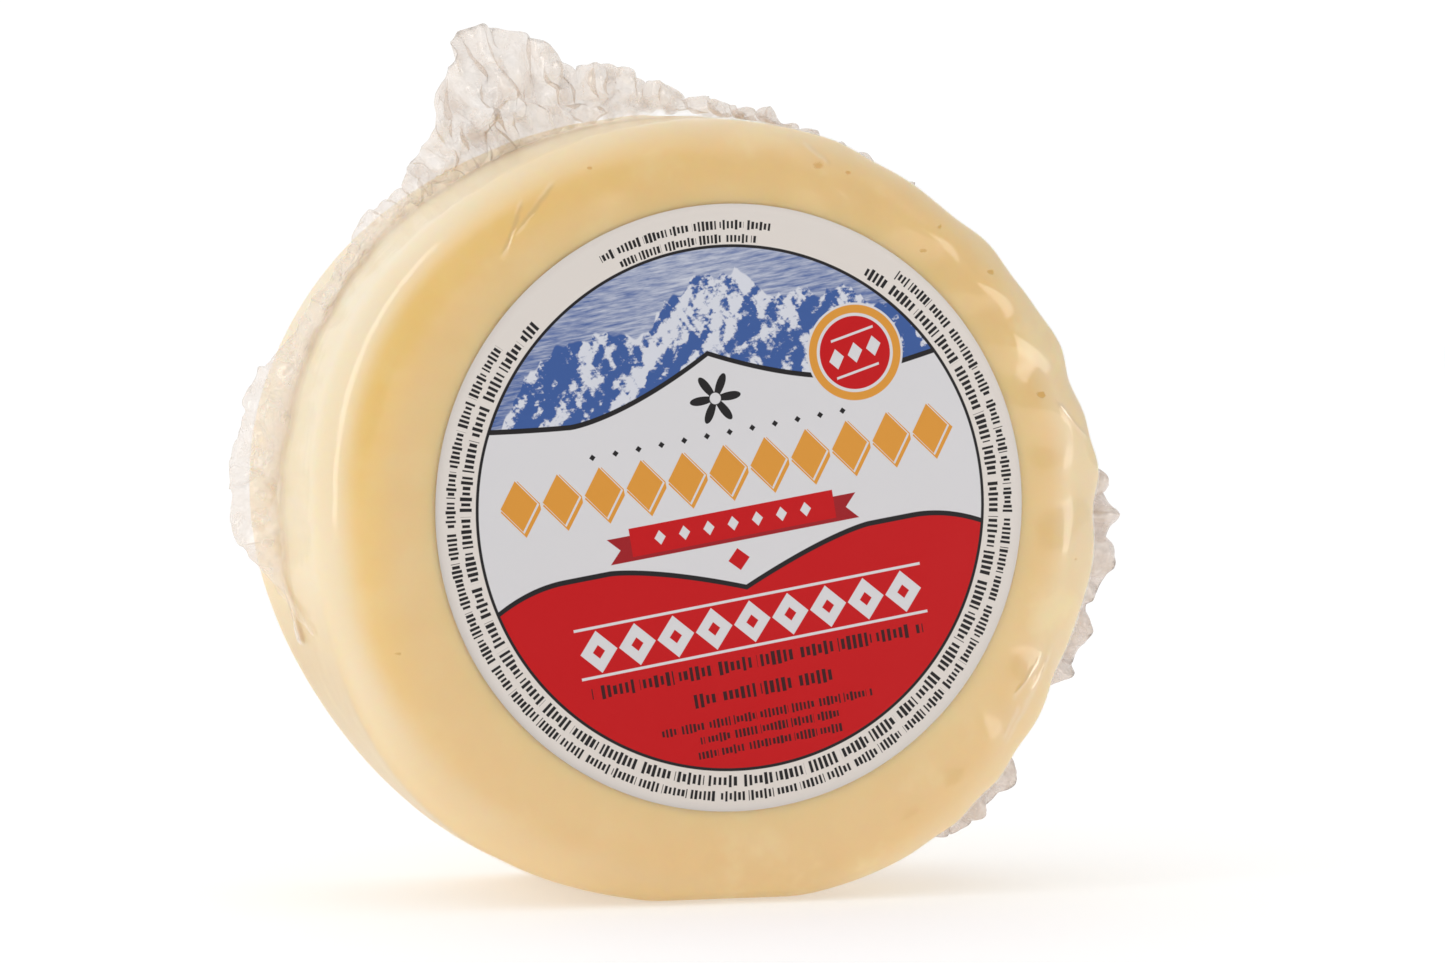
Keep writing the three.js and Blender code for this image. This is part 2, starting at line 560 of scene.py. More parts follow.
def seam_material():
    """Crumpled film: clear where it lies on the rim, and milky where it stands, with small folds.

    The mesh says how hazy it is, which also darkens it round the right side as painted shade, and how
    loose: 0 where it lies on the rim and 1 where it stands.
    """
    material = new_material("seam_film")
    where = place(material)
    # haze: denser film, and painted shade round the right side
    haze = attribute(material, "haze")
    loose = attribute(material, "loose")
    fold = small_folds(where)
    milk = noise(where, 4 * MM, detail=3).ramp(0.3, 0.8)
    body = add_node(
        material,
        "BsdfPrincipled",
        Base_Color=mixed(haze, LOOSE_FILM, HAZY_SHADED_FILM),
        Roughness=0.16,
        Metallic=0.2,
        Specular_IOR_Level=0.8,
        Normal=bumped(fold, 0.4 * MM, 0.25),
    )
    # the darker hazy tint is partly painted shade round the right side
    tint = mixed(haze * haze * loose, LOOSE_CLEAR, HAZY_SHADED_CLEAR)
    clear = add_node(material, "BsdfTransparent", Color=tint)
    share = shine(material, 0.06, 0.28) + milk * (haze * 0.2 + 0.2) + fold * 0.06 + haze * 0.12 + 0.14
    share = share * (loose * 0.92 + 0.08)
    return see_through(share.least(1), clear, body)


# The label's print. Its lengths are shares of the label's radius, along u and up v from its middle.

PRINT_TILT = math.radians(9.8)

PAPER = linear(226, 218, 211)
PALE = linear(219, 217, 219)
BLUE = linear(60, 92, 156)
SNOW = linear(216, 218, 227)
SKY = linear(208, 211, 222)
RED = linear(197, 4, 13)
DARK_RED = linear(158, 22, 30)
ORANGE = linear(222, 152, 58)
INK = linear(30, 27, 29)
RED_INK = linear(58, 16, 20)

PICTURE_EDGE = 0.862  # radius of the round picture in the border
LINE = 0.0085  # half width of the dark lines along the pale band

# The pale band across the picture: its edges, how far its ends bend up or down, and its blunt points,
# with the height and half width of each
BAND_TOP, BAND_BOTTOM = 0.337, -0.135
TOP_BEND, BOTTOM_BEND = 0.094, 1.1
TOP_POINT, BOTTOM_POINT = (0.180, 0.5), (0.129, 0.45)

# Heights of the ornaments' middles
FLOWER_AT = 0.367
DOTS_AT = 0.250
LARGE_ROW_AT = 0.128
RIBBON_AT = -0.048
TAILS_AT = -0.066
SMALL_LOZENGE_AT = -0.168
RED_ROW_AT = -0.379
RED_LINES_AT = -0.298, -0.459

# Rows of lozenges: how far apart, how many, and for small ones half the width and height of each
DOTS = 0.0785, 12, 0.011, 0.011
RIBBON_ROW = 0.084, 7, 0.019, 0.024
SEAL_ROW = 0.066, 3, 0.026, 0.034
LARGE_ROW = 0.142, 11
RED_ROW = 0.132, 9

# The round seal: its middle, how steep its bars are, and its rings' radii and colours
SEAL_AT = 0.497, 0.432
SEAL_SLOPE = 0.17
SEAL_RINGS = (0.165, PALE), (0.158, ORANGE), (0.131, PALE), (0.121, RED)

# Rows of dark ticks low on the red field: the row's middle, its half length and the ticks' height
TICK_ROWS = [
    (-0.512, 0.575, 0.046),
    (-0.604, 0.245, 0.046),
    (-0.688, 0.365, 0.031),
    (-0.735, 0.240, 0.031),
    (-0.783, 0.255, 0.031),
]

# Rows of dark ticks round the border: radius, the ticks' height, and first and last degree from the u axis
RING_ROWS = [
    (0.900, 0.040, 128, 410),
    (0.950, 0.034, 136, 404),
    (0.886, 0.030, 75, 106),
    (0.931, 0.032, 72, 109),
]
RING_SEED = 9  # of the first of these rows, so that it differs from the others
TICK_SOFTNESS = 0.0009


def random_of(cell, seed):
    """A random number from 0 to 1 for each whole number."""
    node = add_node(cell.material, "TexWhiteNoise")
    node.noise_dimensions = "1D"
    connect(cell + seed * 17.3, node.inputs["W"])
    return Value(cell.material, node.outputs["Value"])


def ticks(along, across, half_length, height, seed):
    """Distance from a row of small ticks in groups of uneven length, below 0 inside them."""
    pitch = height * 0.44  # from tick to tick
    step = along / pitch
    cell = step.math("FLOOR")
    part = abs(step - cell - 0.5) * pitch
    width = random_of(cell, seed) * 0.1 + 0.25
    tall = (random_of(cell, seed + 3) * 4).math("FLOOR") * 0.06 + 0.32
    group = (step * 0.15 + random_of((step * 0.032).math("FLOOR"), seed + 7) * 0.5).math("FRACT")
    gap = (0.13 - group) * pitch * 4
    row = abs(along) - half_length
    return (part - width * pitch).most(abs(across) - tall * height).most(gap).most(row)


def lozenge(x, y, half_width, half_height):
    """Distance from a lozenge in the middle of x and y, below 0 inside it."""
    return (abs(x) / half_width + abs(y) / half_height - 1) * min(half_width, half_height)


def repeated(along, pitch, count):
    """Distance along a row from the nearest of count places, which are pitch apart round 0."""
    shift = 0.5 * ((count + 1) % 2)
    reach = (count - 1) / 2
    nearest = (along / pitch + shift).math("ROUND").least(reach + shift).most(shift - reach)
    return along - (nearest - shift) * pitch


def lozenge_row(x, y, pitch, count, half_width, half_height):
    """Distance from a row of lozenges round the middle of x and y."""
    return lozenge(repeated(x, pitch, count), y, half_width, half_height)


def crest(u, size, shift):
    """Peaks along u, size apart: 1 at their tops. Another shift gives other peaks."""
    level = noise(node_value(u.material, "CombineXYZ", X=u, Y=shift), size, detail=1)
    return 1 - abs(level - 0.5) * 5


def ground(where, shift, lean):
    """Noise with ribs that lean to one side."""
    leaning = mapped(where, "TEXTURE", Location=shift, Rotation=(0, lean, 0), Scale=(1, 1, 2.2))
    return noise(leaning, 8.5 * MM, detail=5, roughness=0.6)


def slope(where, lean):
    """How far leaning ribs face the light."""
    towards_light = (1.1 * MM, 0, -0.7 * MM)
    return ground(where, towards_light, lean) - ground(where, (0, 0, 0), lean)


def mountains(u, v, where):
    """A range of snowy mountains under a hazy sky, in blue strokes on pale paper."""
    from_peak = u - 0.04
    low_peaks = crest(u, 0.30, 5.3) * 0.10 + crest(u, 0.075, 1.7) * 0.035
    below = 0.655 - from_peak * from_peak * 0.52 + low_peaks - v
    lit = (slope(where, 0.75) + slope(where, -0.55)) * 9
    strokes = mapped(where, Rotation=(0, 0.8, 0), Scale=(1, 1, 5))
    fine = noise(strokes, 2.4 * MM, detail=3, roughness=0.6) - 0.5
    snow = lit + 0.42 - below * 1.3 - abs(from_peak) * 0.85 + fine * 1.5
    rock = mixed(snow.ramp(-0.25, 0.45), BLUE, SNOW)
    haze = noise(mapped(where, Scale=(1, 1, 9)), 5 * MM, detail=3, roughness=0.6) - 0.5
    air = haze * 1.3 + 0.52 - abs(u) * 0.35
    return mixed(below.ramp(-0.005, 0.005), mixed(air.ramp(0, 0.9), BLUE, SKY), rock)


def over(edge, colour, under, soft=0.0012):
    """under, with colour over it inside a shape. edge is the distance from it, below 0 inside."""
    return mixed(edge.ramp(soft, -soft), under, colour)


def blunt_point(u, height, half_width):
    """How far the band runs out in the middle."""
    return (1 - abs(u) / half_width).most(0) ** 1.4 * height


def fields(u, v, where):
    """A pale band with blunt points, between the mountains and a red field."""
    ends = (abs(u) - 0.6).most(0)
    above = v - u * u * TOP_BEND - blunt_point(u, *TOP_POINT) - BAND_TOP
    below = BAND_BOTTOM - blunt_point(u, *BOTTOM_POINT) - ends * ends * BOTTOM_BEND - v
    picture = over(-above, mountains(u, v, where), PALE)
    picture = over(-below, RED, picture)
    picture = over(abs(above) - LINE, INK, picture)
    return over(abs(below) - LINE, INK, picture)


def with_flower(picture, u, v):
    """A small flower with six petals, and a row of dots under it."""
    y = v - FLOWER_AT
    reach = distance(u, y)
    petals = reach - (y.math("ARCTAN2", u) * 6).math("COSINE") * 0.033 - 0.055
    picture = over(petals.most(0.019 - reach), INK, picture)
    return over(lozenge_row(u + 0.01, v - DOTS_AT, *DOTS), INK, picture)


def with_large_row(picture, u, v):
    """Large lozenges on a bent line, each over a pale and an orange shadow."""
    x = repeated(u, *LARGE_ROW)
    y = v - LARGE_ROW_AT - u * u * 0.02
    picture = over(lozenge(x - 0.008, y + 0.011, 0.071, 0.094), ORANGE, picture)
    picture = over(lozenge(x - 0.003, y + 0.003, 0.065, 0.088), PALE, picture)
    return over(lozenge(x, y, 0.062, 0.084), ORANGE, picture)


def with_ribbon(picture, u, v):
    """A ribbon with notched tails and a row of lozenges, and a small red lozenge under it."""
    x = u + 0.01
    ribbon = (abs(v - RIBBON_AT) - 0.047).most(abs(x) - 0.352)
    notch = (1 - abs(v - TAILS_AT) / 0.042) * 0.04
    tails = (abs(v - TAILS_AT) - 0.042).most(abs(x) - 0.43 + notch)
    picture = over(tails, DARK_RED, picture)
    picture = over(ribbon, RED, picture)
    picture = over(lozenge_row(x, v - RIBBON_AT, *RIBBON_ROW), PALE, picture)
    return over(lozenge(x, v - SMALL_LOZENGE_AT, 0.037, 0.037), RED, picture)


def with_red_row(picture, u, v):
    """A row of lozenges with red hearts between two lines, and rows of ticks."""
    first, second = (abs(v - height) - 0.0045 for height in RED_LINES_AT)
    picture = over(first.least(second).most(abs(u) - 0.6), PALE, picture)
    x, y = repeated(u, *RED_ROW), v - RED_ROW_AT
    picture = over(lozenge(x, y, 0.063, 0.070), PALE, picture)
    picture = over(lozenge(x, y, 0.021, 0.023), RED, picture)
    for row, (middle, half_length, height) in enumerate(TICK_ROWS):
        marks = ticks(u, v - middle, half_length, height, row)
        picture = over(marks, RED_INK, picture, TICK_SOFTNESS)
    return picture


def with_seal(picture, u, v):
    """A round seal at the right, in rings, with three lozenges between two bars."""
    x, y = u - SEAL_AT[0], v - SEAL_AT[1]
    reach = distance(x, y)
    for radius, colour in SEAL_RINGS:
        picture = over(reach - radius, colour, picture)
    tilted = y - x * SEAL_SLOPE
    bars = (abs(abs(tilted) - 0.062) - 0.004).most(abs(x) - 0.075)
    picture = over(bars, PALE, picture)
    return over(lozenge_row(x, tilted, *SEAL_ROW), PALE, picture)


def with_border(picture, u, v):
    """The paper border round the picture, with its rows of ticks."""
    reach = distance(u, v)
    picture = over(PICTURE_EDGE - reach, PAPER, picture)
    picture = over(abs(reach - PICTURE_EDGE) - 0.005, INK, picture)
    for row, (radius, height, first, last) in enumerate(RING_ROWS):
        middle = math.radians((first + last) / 2)
        across = v * math.cos(middle) - u * math.sin(middle)
        turned = across.math("ARCTAN2", u * math.cos(middle) + v * math.sin(middle))
        half_length = math.radians(last - first) / 2 * radius
        marks = ticks(turned * radius, reach - radius, half_length, height, RING_SEED + row)
        picture = over(marks, INK, picture, TICK_SOFTNESS)
    return picture


def print_colour(where):
    """The label's print, in fields of colour, plain ornaments and rows of ticks."""
    x, y, z = split(where)
    u, v = x / LABEL_RADIUS, z / LABEL_RADIUS
    picture = fields(u, v, where)
    for add_print in (with_flower, with_large_row, with_ribbon, with_red_row, with_seal, with_border):
        picture = add_print(picture, u, v)
    return picture


def label_material():
    """Satin paper with a plain print in fields of colour and simple shapes."""
    material = new_material("label_print")
    where = place(material)
    colour = print_colour(where)
    grain = noise(where, 0.6 * MM, detail=2)
    shader = add_node(
        material,
        "BsdfPrincipled",
        Base_Color=colour,
        Roughness=0.42,
        Specular_IOR_Level=0.25,
        Normal=bumped(grain, 0.01 * MM, 0.4),
    )
    return finish_material(material, shader)


# The cheese

RELIEF = 0.13 * MM  # of the soft unevenness all over
LUMPS = 0.58 * MM  # of the soft lumps round the right side of the rim
LUMPS_FROM, LUMPS_FULL = 0.81, 0.89  # shares of the wheel's radius
FOOT_FLAT, FOOT_FULL = 2 * MM, 14 * MM  # heights where the unevenness starts and is full


def relief_at(points):
    """How far the film's surface stands out of the plain wheel at points, zero over the resting flat."""
    wide = ripple(points, 22 * MM, seed=3)
    fine = ripple(points, 9 * MM, seed=8)
    lumps = ripple(points, 7.5 * MM, seed=12)
    share, angle, reach = around_axis(points)
    to_right = 0.5 + 0.5 * np.cos(angle)
    on_rim = np.interp(reach / near_front.mean(), (LUMPS_FROM, LUMPS_FULL), (0, 1))
    foot = np.interp(points[:, 2], (FOOT_FLAT, FOOT_FULL), (0, 1))
    return (RELIEF * wide + 0.3 * RELIEF * fine + LUMPS * lumps * to_right ** 2 * on_rim) * foot


def row_normals(rows):
    """Outward normals of a grid of rows that run from the front face to the back one."""
    across = np.gradient(rows, axis=0)
    along = np.roll(rows, -1, 1) - np.roll(rows, 1, 1)
    normal = np.cross(across, along)
    return normal / np.linalg.norm(normal, axis=-1, keepdims=True)


def wheel_surface(inset):
    """Points and faces of the whole closed wheel, inset from the film's outside."""
    depths, lifts = wheel_section()
    inner = np.linspace(0, 1, FACE_ROWS + 1)[1:-1] ** 0.8  # closer together near the rim
    body = wheel_point(ANGLES[None, :], depths[:, None], lifts[:, None])
    front_rows = front_hub + inner[:, None, None] * (body[:1] - front_hub)
    back_rows = back_hub + inner[::-1, None, None] * (body[-1:] - back_hub)
    rows = np.concatenate([front_rows, body, back_rows])
    flat = rows.reshape(-1, 3)
    out = relief_at(flat) - inset
    points = flat + row_normals(rows).reshape(-1, 3) * out[:, None]
    points[:, 2] = np.maximum(points[:, 2], inset)
    poles = np.array([front_hub + (0, inset, 0), back_hub - (0, inset, 0)])
    poles[:, 1] += relief_at(poles) * (-1, 1)
    count = len(rows)
    faces = ring_faces(count, RIM_STEPS)[:, ::-1].tolist()
    first, last = len(points), len(points) + 1
    end = (count - 1) * RIM_STEPS
    for i in range(RIM_STEPS):
        after = (i + 1) % RIM_STEPS
        faces.append((first, i, after))
        faces.append((last, end + after, end + i))
    return np.concatenate([points, poles]), faces


# Where the cheese turns pale near its rim, by degrees from X over the top: how far out, and how much. The
# paleness is partly the rim's own tone and partly painted light where the lights fall on it.
PALE_AND_LIT_AT = (0, 20, 40, 60, 100, 130, 150, 200, 225, 250, 280, 300, 320, 340, 360)
PALE_AND_LIT_START = (0.83, 0.84, 0.90, 0.92, 0.92, 0.915, 0.91, 0.90, 0.86, 0.86, 0.92, 0.90, 0.87, 0.83, 0.83)
PALE_AND_LIT_MOST = (0.6, 0.6, 0.45, 0.4, 0.5, 0.85, 1, 0.8, 0.4, 0.2, 0.2, 0.3, 0.3, 0.45, 0.6)

# How much of that is left on the wall behind the rounding. Less is left low at the left and under the
# wheel, as painted shade.
PALE_AND_LIT_WALL_AT = (180, 195, 215, 260, 300)
PALE_AND_LIT_WALL = (1, 0.7, 0.1, 0.1, 1)

# How much painted shade the wall has low at the left
PAINTED_SHADE_AT = (188, 205, 235, 250)
PAINTED_SHADE_MOST = (0, 1, 1, 0)


def rim_shares(points):
    """How much painted glow and shade, paleness with painted light, painted shade and marbling the cheese
    has at points, from 0 to 1.
    """
    share, angle, reach = around_axis(points)
    degrees = np.degrees(angle) % 360
    edge = reach / radius_at(angle, share)
    depth = np.minimum(share, 1 - share) * THICKNESS
    on_wall = smooth_step(depth, 4 * MM, 12 * MM)
    down, to_right = -np.sin(angle), np.clip(0.5 + np.cos(angle), 0, 1)
    # towards the lit left side, where the painted glow is strongest
    to_left = np.clip(np.cos(angle - math.radians(160)), 0, 1) ** 2
    # painted warm shade along the foot, where the wheel meets the floor
    foot_warm_shade = smooth_step(down, 0.93, 0.99) * smooth_step(edge, 0.92, 0.98)
    # painted shade along the foot
    foot_painted_shade = smooth_step(down, 0.90, 0.98) * smooth_step(edge, 0.85, 0.98)
    start = np.interp(degrees, PALE_AND_LIT_AT, PALE_AND_LIT_START)
    # paleness near the rim: partly the rim's own tone, partly painted light
    pale = np.interp(degrees, PALE_AND_LIT_AT, PALE_AND_LIT_MOST) * smooth_step(edge, start, start + 0.07)
    return {
        # deep: painted warm glow inside the lit left edge, and painted warm shade along the foot
        "deep": np.maximum(to_left * smooth_step(edge, 0.80, 0.89), foot_warm_shade),
        # pale: partly the rim's own tone and partly painted light
        "pale": pale * (1 - on_wall * (1 - np.interp(degrees, PALE_AND_LIT_WALL_AT, PALE_AND_LIT_WALL))),
        # painted shade low on the left wall and along the foot
        "painted_shade": np.maximum(np.interp(degrees, PAINTED_SHADE_AT, PAINTED_SHADE_MOST) * on_wall, 0.5 * foot_painted_shade),
        "marble": 0.15 + 0.4 * to_right * smooth_step(edge, 0.76, 0.88),
    }


def make_cheese():
    points, faces = wheel_surface(FILM_GAP)
    piece = make_piece("cheese_wheel", points, faces, cheese_material())
    for name, values in rim_shares(points).items():
        set_share(piece, name, values)
    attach(piece, "root")
    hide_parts("sealed_bag")


def make_film():
    points, faces = wheel_surface(0.0)
    piece = make_piece("film_skin", points, faces, film_material())
    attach(piece, "root")
    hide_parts("sealed_bag")


# The film's crumpled seam: two sheets that lie on the rim at its root and are joined along its tip.
# Places round it are in degrees from X over the top.

SEAM_COLUMNS = 350
SEAM_ROWS = 12  # from the root to the tip, on each side
SEAM_FLARE = 3.2 * MM  # how far each sheet lies on the rim before it rises
SEAM_END = 199.5  # from where the seam lies flat under the wheel
SEAM_NONE = -80  # where the solid has no seam
SEAM_HALF_WIDTH = 9 * MM  # in which all of the solid's seam lies
SEAM_GAP = 0.7 * MM  # from each sheet to the seam's middle where it leaves the rim
SEAM_RISE_AT = 0.25  # share of the way to the tip where each sheet leaves the rim
SEAM_STIFFNESS = 0.4  # the stiffer the film, the wider its folds
CLEARANCE = 0.15 * MM  # of loose film over the tight film

# The least length of film that stands up or lies folded back
SEAM_FILM_AT = (-66, -52, 184, 194)
SEAM_FILM = (0.6 * MM, 5.5 * MM, 5.5 * MM, 0.6 * MM)

# Share of the solid seam's height that the film's tip reaches before it is crumpled
SEAM_LIFT_AT = (97, 104, 111, 117, 123, 186, 198)
SEAM_LIFT = (0.95, 0.83, 0.93, 0.83, 0.93, 0.95, 0.1)

# How hazy the crumpled film is, and how much painted shade darkens it: most round the right side
SEAM_HAZE_AND_SHADE_AT = (40, 75, 90, 118, 138, 240, 300)
SEAM_HAZE_AND_SHADE = (1, 0.5, 0.3, 0.3, 0.17, 0.17, 1)

# Share of extra film along the seam's tip
SEAM_SLACK_AT = (86, 96, 124, 134, 184, 190)
SEAM_SLACK = (0.55, 0.85, 0.85, 0.42, 0.38, 0)

# How much of its small folds the seam has
SMALL_FOLDS_AT = (124, 142)
SMALL_FOLDS = (1, 0.25)

# How far forward of its usual place the seam's root lies
SEAM_SHIFT_AT = (118, 128, 138, 144, 165, 172, 182, 192)
SEAM_SHIFT = np.array([0, 1, 3, 7, 7, 6.5, 5.5, 2]) * MM


def seam_tips():
    """Angle, lift and depth of the solid's seam along its free edge."""
    share, angle, reach = around_axis(bag_points)
    lift = reach - radius_at(angle, share)
    depth = share * THICKNESS
    standing = (lift > 0.3 * MM) & (np.abs(depth - SEAM_DEPTH) < SEAM_HALF_WIDTH)
    angle, lift, depth = angle[standing], lift[standing], depth[standing]
    start = math.radians(SEAM_NONE)
    angle = (angle - start) % TURN + start
    tips = []
    for middle in np.arange(angle.min(), angle.max(), math.radians(1.5)):
        near = np.flatnonzero(np.abs(angle - middle) < math.radians(1))
        if len(near):
            tip = near[np.argsort(lift[near])[-2:]]
            tips.append((angle[tip].mean(), lift[tip].mean(), depth[tip].mean()))
    return np.array(sorted(tips)).T


def clamp_outside(points):
    """Moves points that are inside the wheel out to its film."""
    share, angle, reach = around_axis(points)
    arm = points - hub_at(share)
    grow = np.maximum((radius_at(angle, share) + CLEARANCE) / reach, 1) - 1
    points[..., ::2] += arm[..., ::2] * grow[..., None]
    points[..., 2] = np.maximum(points[..., 2], 0.05 * MM)


def lengths(grid, axis):
    """Distances between neighbours along axis, as many as there are points."""
    apart = np.linalg.norm(np.diff(grid, axis=axis), axis=-1)
    return np.concatenate([apart, apart.take([-1], axis)], axis)


def pull(points, rest, free, axis, first):
    """Brings every second pair of neighbours along axis to its rest length."""
    points, rest, free = (np.moveaxis(grid, axis, 0) for grid in (points, rest, free))
    near, far = slice(first, -1, 2), slice(first + 1, None, 2)
    apart = points[far] - points[near]
    length = np.linalg.norm(apart, axis=-1, keepdims=True)
    share = free[near] + free[far] + 1e-9
    move = apart * (1 - rest[near][..., None] / (length + 1e-9)) / share
    points[near] += move * free[near]
    points[far] -= move * free[far]


def curl(grid):
    """How far each inner point is from the middle of its four neighbours."""
    out = np.zeros_like(grid)
    out[1:-1, 1:-1] = (grid[2:, 1:-1] + grid[:-2, 1:-1] + grid[1:-1, 2:] + grid[1:-1, :-2]) / 4
    out[1:-1, 1:-1] -= grid[1:-1, 1:-1]
    return out


def blown_up(points, air):
    """Moves each point along its normal, out of the pocket between the two sheets."""
    normal = np.cross(np.gradient(points, axis=1), np.gradient(points, axis=0))
    normal /= np.linalg.norm(normal, axis=-1, keepdims=True) + 1e-12
    points += air[..., None] * normal


def crumpled(points, target, rest, rounds, hold, air, stuck):
    """The sheet when each part of it has its rest length, which folds it.

    hold draws it to its target. air blows its two sides apart, and stuck keeps them together.
    """
    free = np.ones((*points.shape[:2], 1))
    free[:, :2] = free[:, -2:] = 0
    free[:1] = free[-1:] = 0
    start = [lengths(points, axis) for axis in (0, 1)]
    for turn in range(rounds):
        grown = min(1, 1.6 * turn / rounds)
        points -= SEAM_STIFFNESS * curl(curl(points)) * free
        points += hold * (target - points) * free
        blown_up(points, air * free[..., 0])
        points += stuck[..., None] * (points[:, ::-1] - points) * free
        for axis in (0, 1):
            length = start[axis] + grown * (rest[axis] - start[axis])
            for first in (0, 1):
                pull(points, length, free, axis, first)
        if turn % 6 == 5:
            clamp_outside(points)
    return points


def finer(grid):
    """The grid with a point more between each two neighbours, on a smooth curve through them."""
    for axis in (0, 1):
        line = np.moveaxis(grid, axis, 0)
        ends = np.concatenate([2 * line[:1] - line[1:2], line, 2 * line[-1:] - line[-2:-1]])
        between = (9 * (ends[1:-2] + ends[2:-1]) - ends[:-3] - ends[3:]) / 16
        woven = np.empty((2 * len(line) - 1, *line.shape[1:]))
        woven[::2] = line
        woven[1::2] = between
        grid = np.moveaxis(woven, 0, axis)
    return grid


def seam_sheet():
    """The seam's sheet before it is crumpled, and each point's share of the way to its tip.

    With them come the shares of extra film and of small folds round the rim.
    """
    tip_angle, tip_lift, tip_depth = seam_tips()
    angle = np.linspace(tip_angle.min(), math.radians(SEAM_END), SEAM_COLUMNS)[:, None]
    degrees = np.degrees(angle)
    lift = np.interp(degrees, SEAM_LIFT_AT, SEAM_LIFT) * np.interp(angle, tip_angle, tip_lift)
    tip = np.interp(angle, tip_angle, tip_depth)
    foot = SEAM_DEPTH - np.interp(degrees, SEAM_SHIFT_AT, SEAM_SHIFT)
    foot += 1.2 * MM * ripple(wheel_point(angle, foot, 0), 11 * MM, seed=51)
    film = np.interp(degrees, SEAM_FILM_AT, SEAM_FILM)
    tip = np.maximum(tip, foot + np.sqrt(np.maximum(film ** 2 - lift ** 2, 0)))
    rise = np.linspace(0, 1, SEAM_ROWS)
    low = np.clip(rise / SEAM_RISE_AT, 0, 1)
    high = np.clip((rise - SEAM_RISE_AT) / (1 - SEAM_RISE_AT), 0, 1)
    sides = []
    for side in (-1, 1):
        root = foot + side * (SEAM_FLARE * (1 - low) + SEAM_GAP * (1 - high))
        along = root + (tip - foot) * high
        up = 0.1 * MM + 0.5 * MM * low ** 2 * (1 - high) + lift * high
        sides.append(wheel_point(angle, along, up))
    sheet = np.concatenate([sides[0], sides[1][:, -2::-1]], 1)
    share = np.concatenate([rise, rise[-2::-1]]) * np.ones((SEAM_COLUMNS, 1))
    extra = np.interp(degrees, SEAM_SLACK_AT, SEAM_SLACK)
    return sheet, share, extra, np.interp(degrees, SMALL_FOLDS_AT, SMALL_FOLDS)


def crumpled_seam():
    """The seam's points in a grid, and how far each is on its way from the root to the tip.

    It is crumpled into large folds first, and then on a finer grid into small ones.
    """
    sheet, share, extra, small_folds = seam_sheet()
    height = np.clip((share - 0.2) / 0.8, 0, 1)
    strength = height * np.minimum(extra / 0.4, 1)
    surplus = (1 + 0.35 * ripple(sheet, 9 * MM, seed=31)) * extra
    wider = 1 + surplus * height ** 0.6
    taller = 1 + 0.5 * surplus * (height > 0)
    push = np.stack([ripple(sheet, 7 * MM, seed) for seed in (21, 22, 23)], -1)
    start = sheet + 1.5 * MM * push * strength[..., None]
    rest = lengths(sheet, 0) * wider, lengths(sheet, 1) * taller
    hold = np.array([0.06, 0.006, 0.06])
    points = crumpled(start, sheet, rest, 400, hold, air=0 * share, stuck=0 * share)

    points, sheet, share = finer(points), finer(sheet), finer(share)
    wider, taller, surplus, strength = finer(wider), finer(taller), finer(surplus), finer(strength)
    small_folds = finer(small_folds + 0 * height)
    middle = (sheet + sheet[:, ::-1]) / 2
    stuck = 0.5 * small_folds * (np.abs(ripple(middle, 4 * MM, seed=41)) < 0.12) * (strength > 0.15)
    air = 0.05 * MM * np.clip(strength, 0, 1)
    more = 1 + 0.24 * surplus * small_folds
    rest = lengths(sheet, 0) * wider * more, lengths(sheet, 1) * taller * more
    points = crumpled(points, points.copy(), rest, 160, 0.02, air, stuck)
    return finer(points)[:, ::2], finer(share)[:, ::2]


def make_seam(material):
    grid, way_up = crumpled_seam()
    points = grid.reshape(-1, 3)
    piece = make_piece("film_seam", points, open_grid(grid), material)
    share, angle, reach = around_axis(points)
    # haze: denser film, and painted shade round the right side
    set_share(piece, "haze", np.interp(np.degrees(angle) % 360, SEAM_HAZE_AND_SHADE_AT, SEAM_HAZE_AND_SHADE))
    set_share(piece, "loose", smooth_step(way_up.ravel(), 0.16, 0.36))
    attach(piece, "root")
    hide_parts("sealed_bag")


# The fold of film that runs from the left ear forward and down the rim. From its top to its lower end:
# degrees from X over the top, depth behind the front face, and its width and height

FOLD_ANGLE = (186, 188.5, 191.5, 194.5, 197.0)
FOLD_DEPTH = np.array([43, 39, 34, 27, 20.5]) * MM
FOLD_WIDTH = np.array([7, 4.5, 3.2, 2.6, 1.2]) * MM
FOLD_LIFT = np.array([2.6, 1.6, 1.1, 0.9, 0.25]) * MM
FOLD_STEPS, FOLD_SIDE_STEPS = 90, 17
FOLD_LEAN = 0.45  # how far its crest overhangs its lower side, as a share of its height
FOLD_ROUND, FOLD_BACK = 0.94, 0.35  # the way over the fold: round the rim, and back along it
FOLD_RADIUS = 77 * MM  # of the rim under it
FOLD_SHAKE = 0.22 * MM


